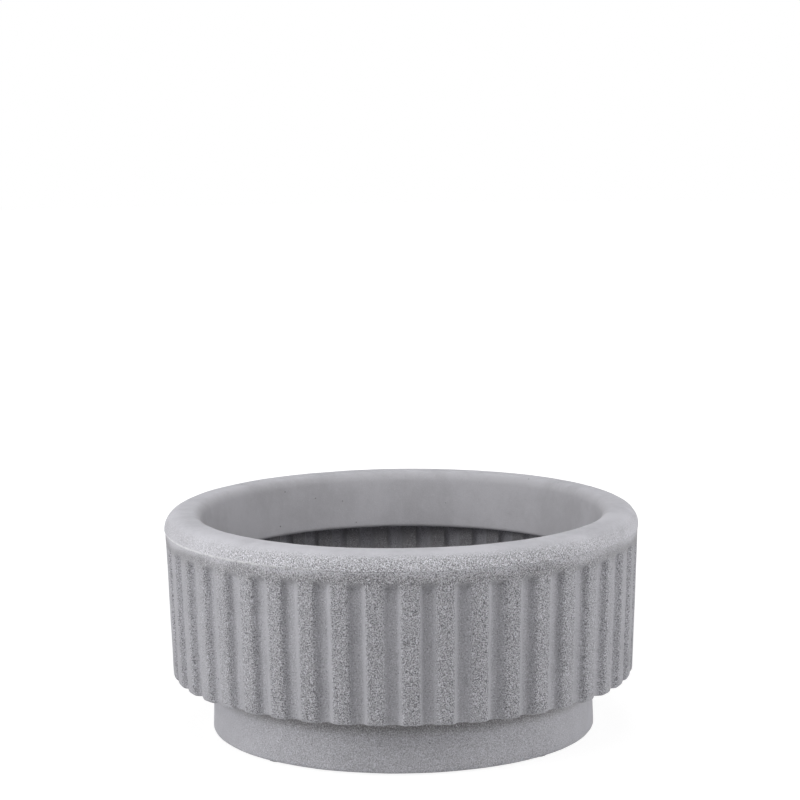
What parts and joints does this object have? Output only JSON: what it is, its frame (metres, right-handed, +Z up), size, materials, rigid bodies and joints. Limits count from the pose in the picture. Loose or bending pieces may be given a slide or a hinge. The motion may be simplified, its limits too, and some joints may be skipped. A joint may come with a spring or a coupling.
{
  "type": "cylindrical flower pot",
  "caption": "Low round floor planter: ribbed drum on a set-back plinth, thick rounded rim with a turned-in collar, pull-out drain plug and rubber foot pads.",
  "frame": {"origin": "on the ground under the centre of the pot, at the bottom of the foot pads", "axes": "+Z up along the pot's axis; +X to the right and -Y towards the viewer, with the middle of a rib on each of them"},
  "size_m": [0.4, 0.4, 0.1885],
  "materials": {
    "rim_cement": "smooth-trowelled pale grey cast cement, matt, with fine sand grains",
    "drum_cement": "sandy light grey cast cement, matt, speckled with dark and white grains",
    "plinth_cement": "sandy light grey cast cement, matt",
    "floor_cement": "unfinished grey cast cement, matt",
    "plug_rubber": "matt black moulded rubber",
    "pad_rubber": "matt black rubber"
  },
  "bodies": {
    "pot": {"rim_ring": "rim_cement", "ribbed_drum": "drum_cement", "plinth": "plinth_cement", "pot_floor": "floor_cement", "foot_pad_1": "pad_rubber", "foot_pad_2": "pad_rubber", "foot_pad_3": "pad_rubber", "foot_pad_4": "pad_rubber"},
    "plug": {"drain_plug": "plug_rubber"}
  },
  "joints": [
    {"name": "plug_pull", "type": "slide", "parent": "pot", "child": "plug", "axis": [0, 0, 1], "range_m": [0, 0.2]}
  ]
}
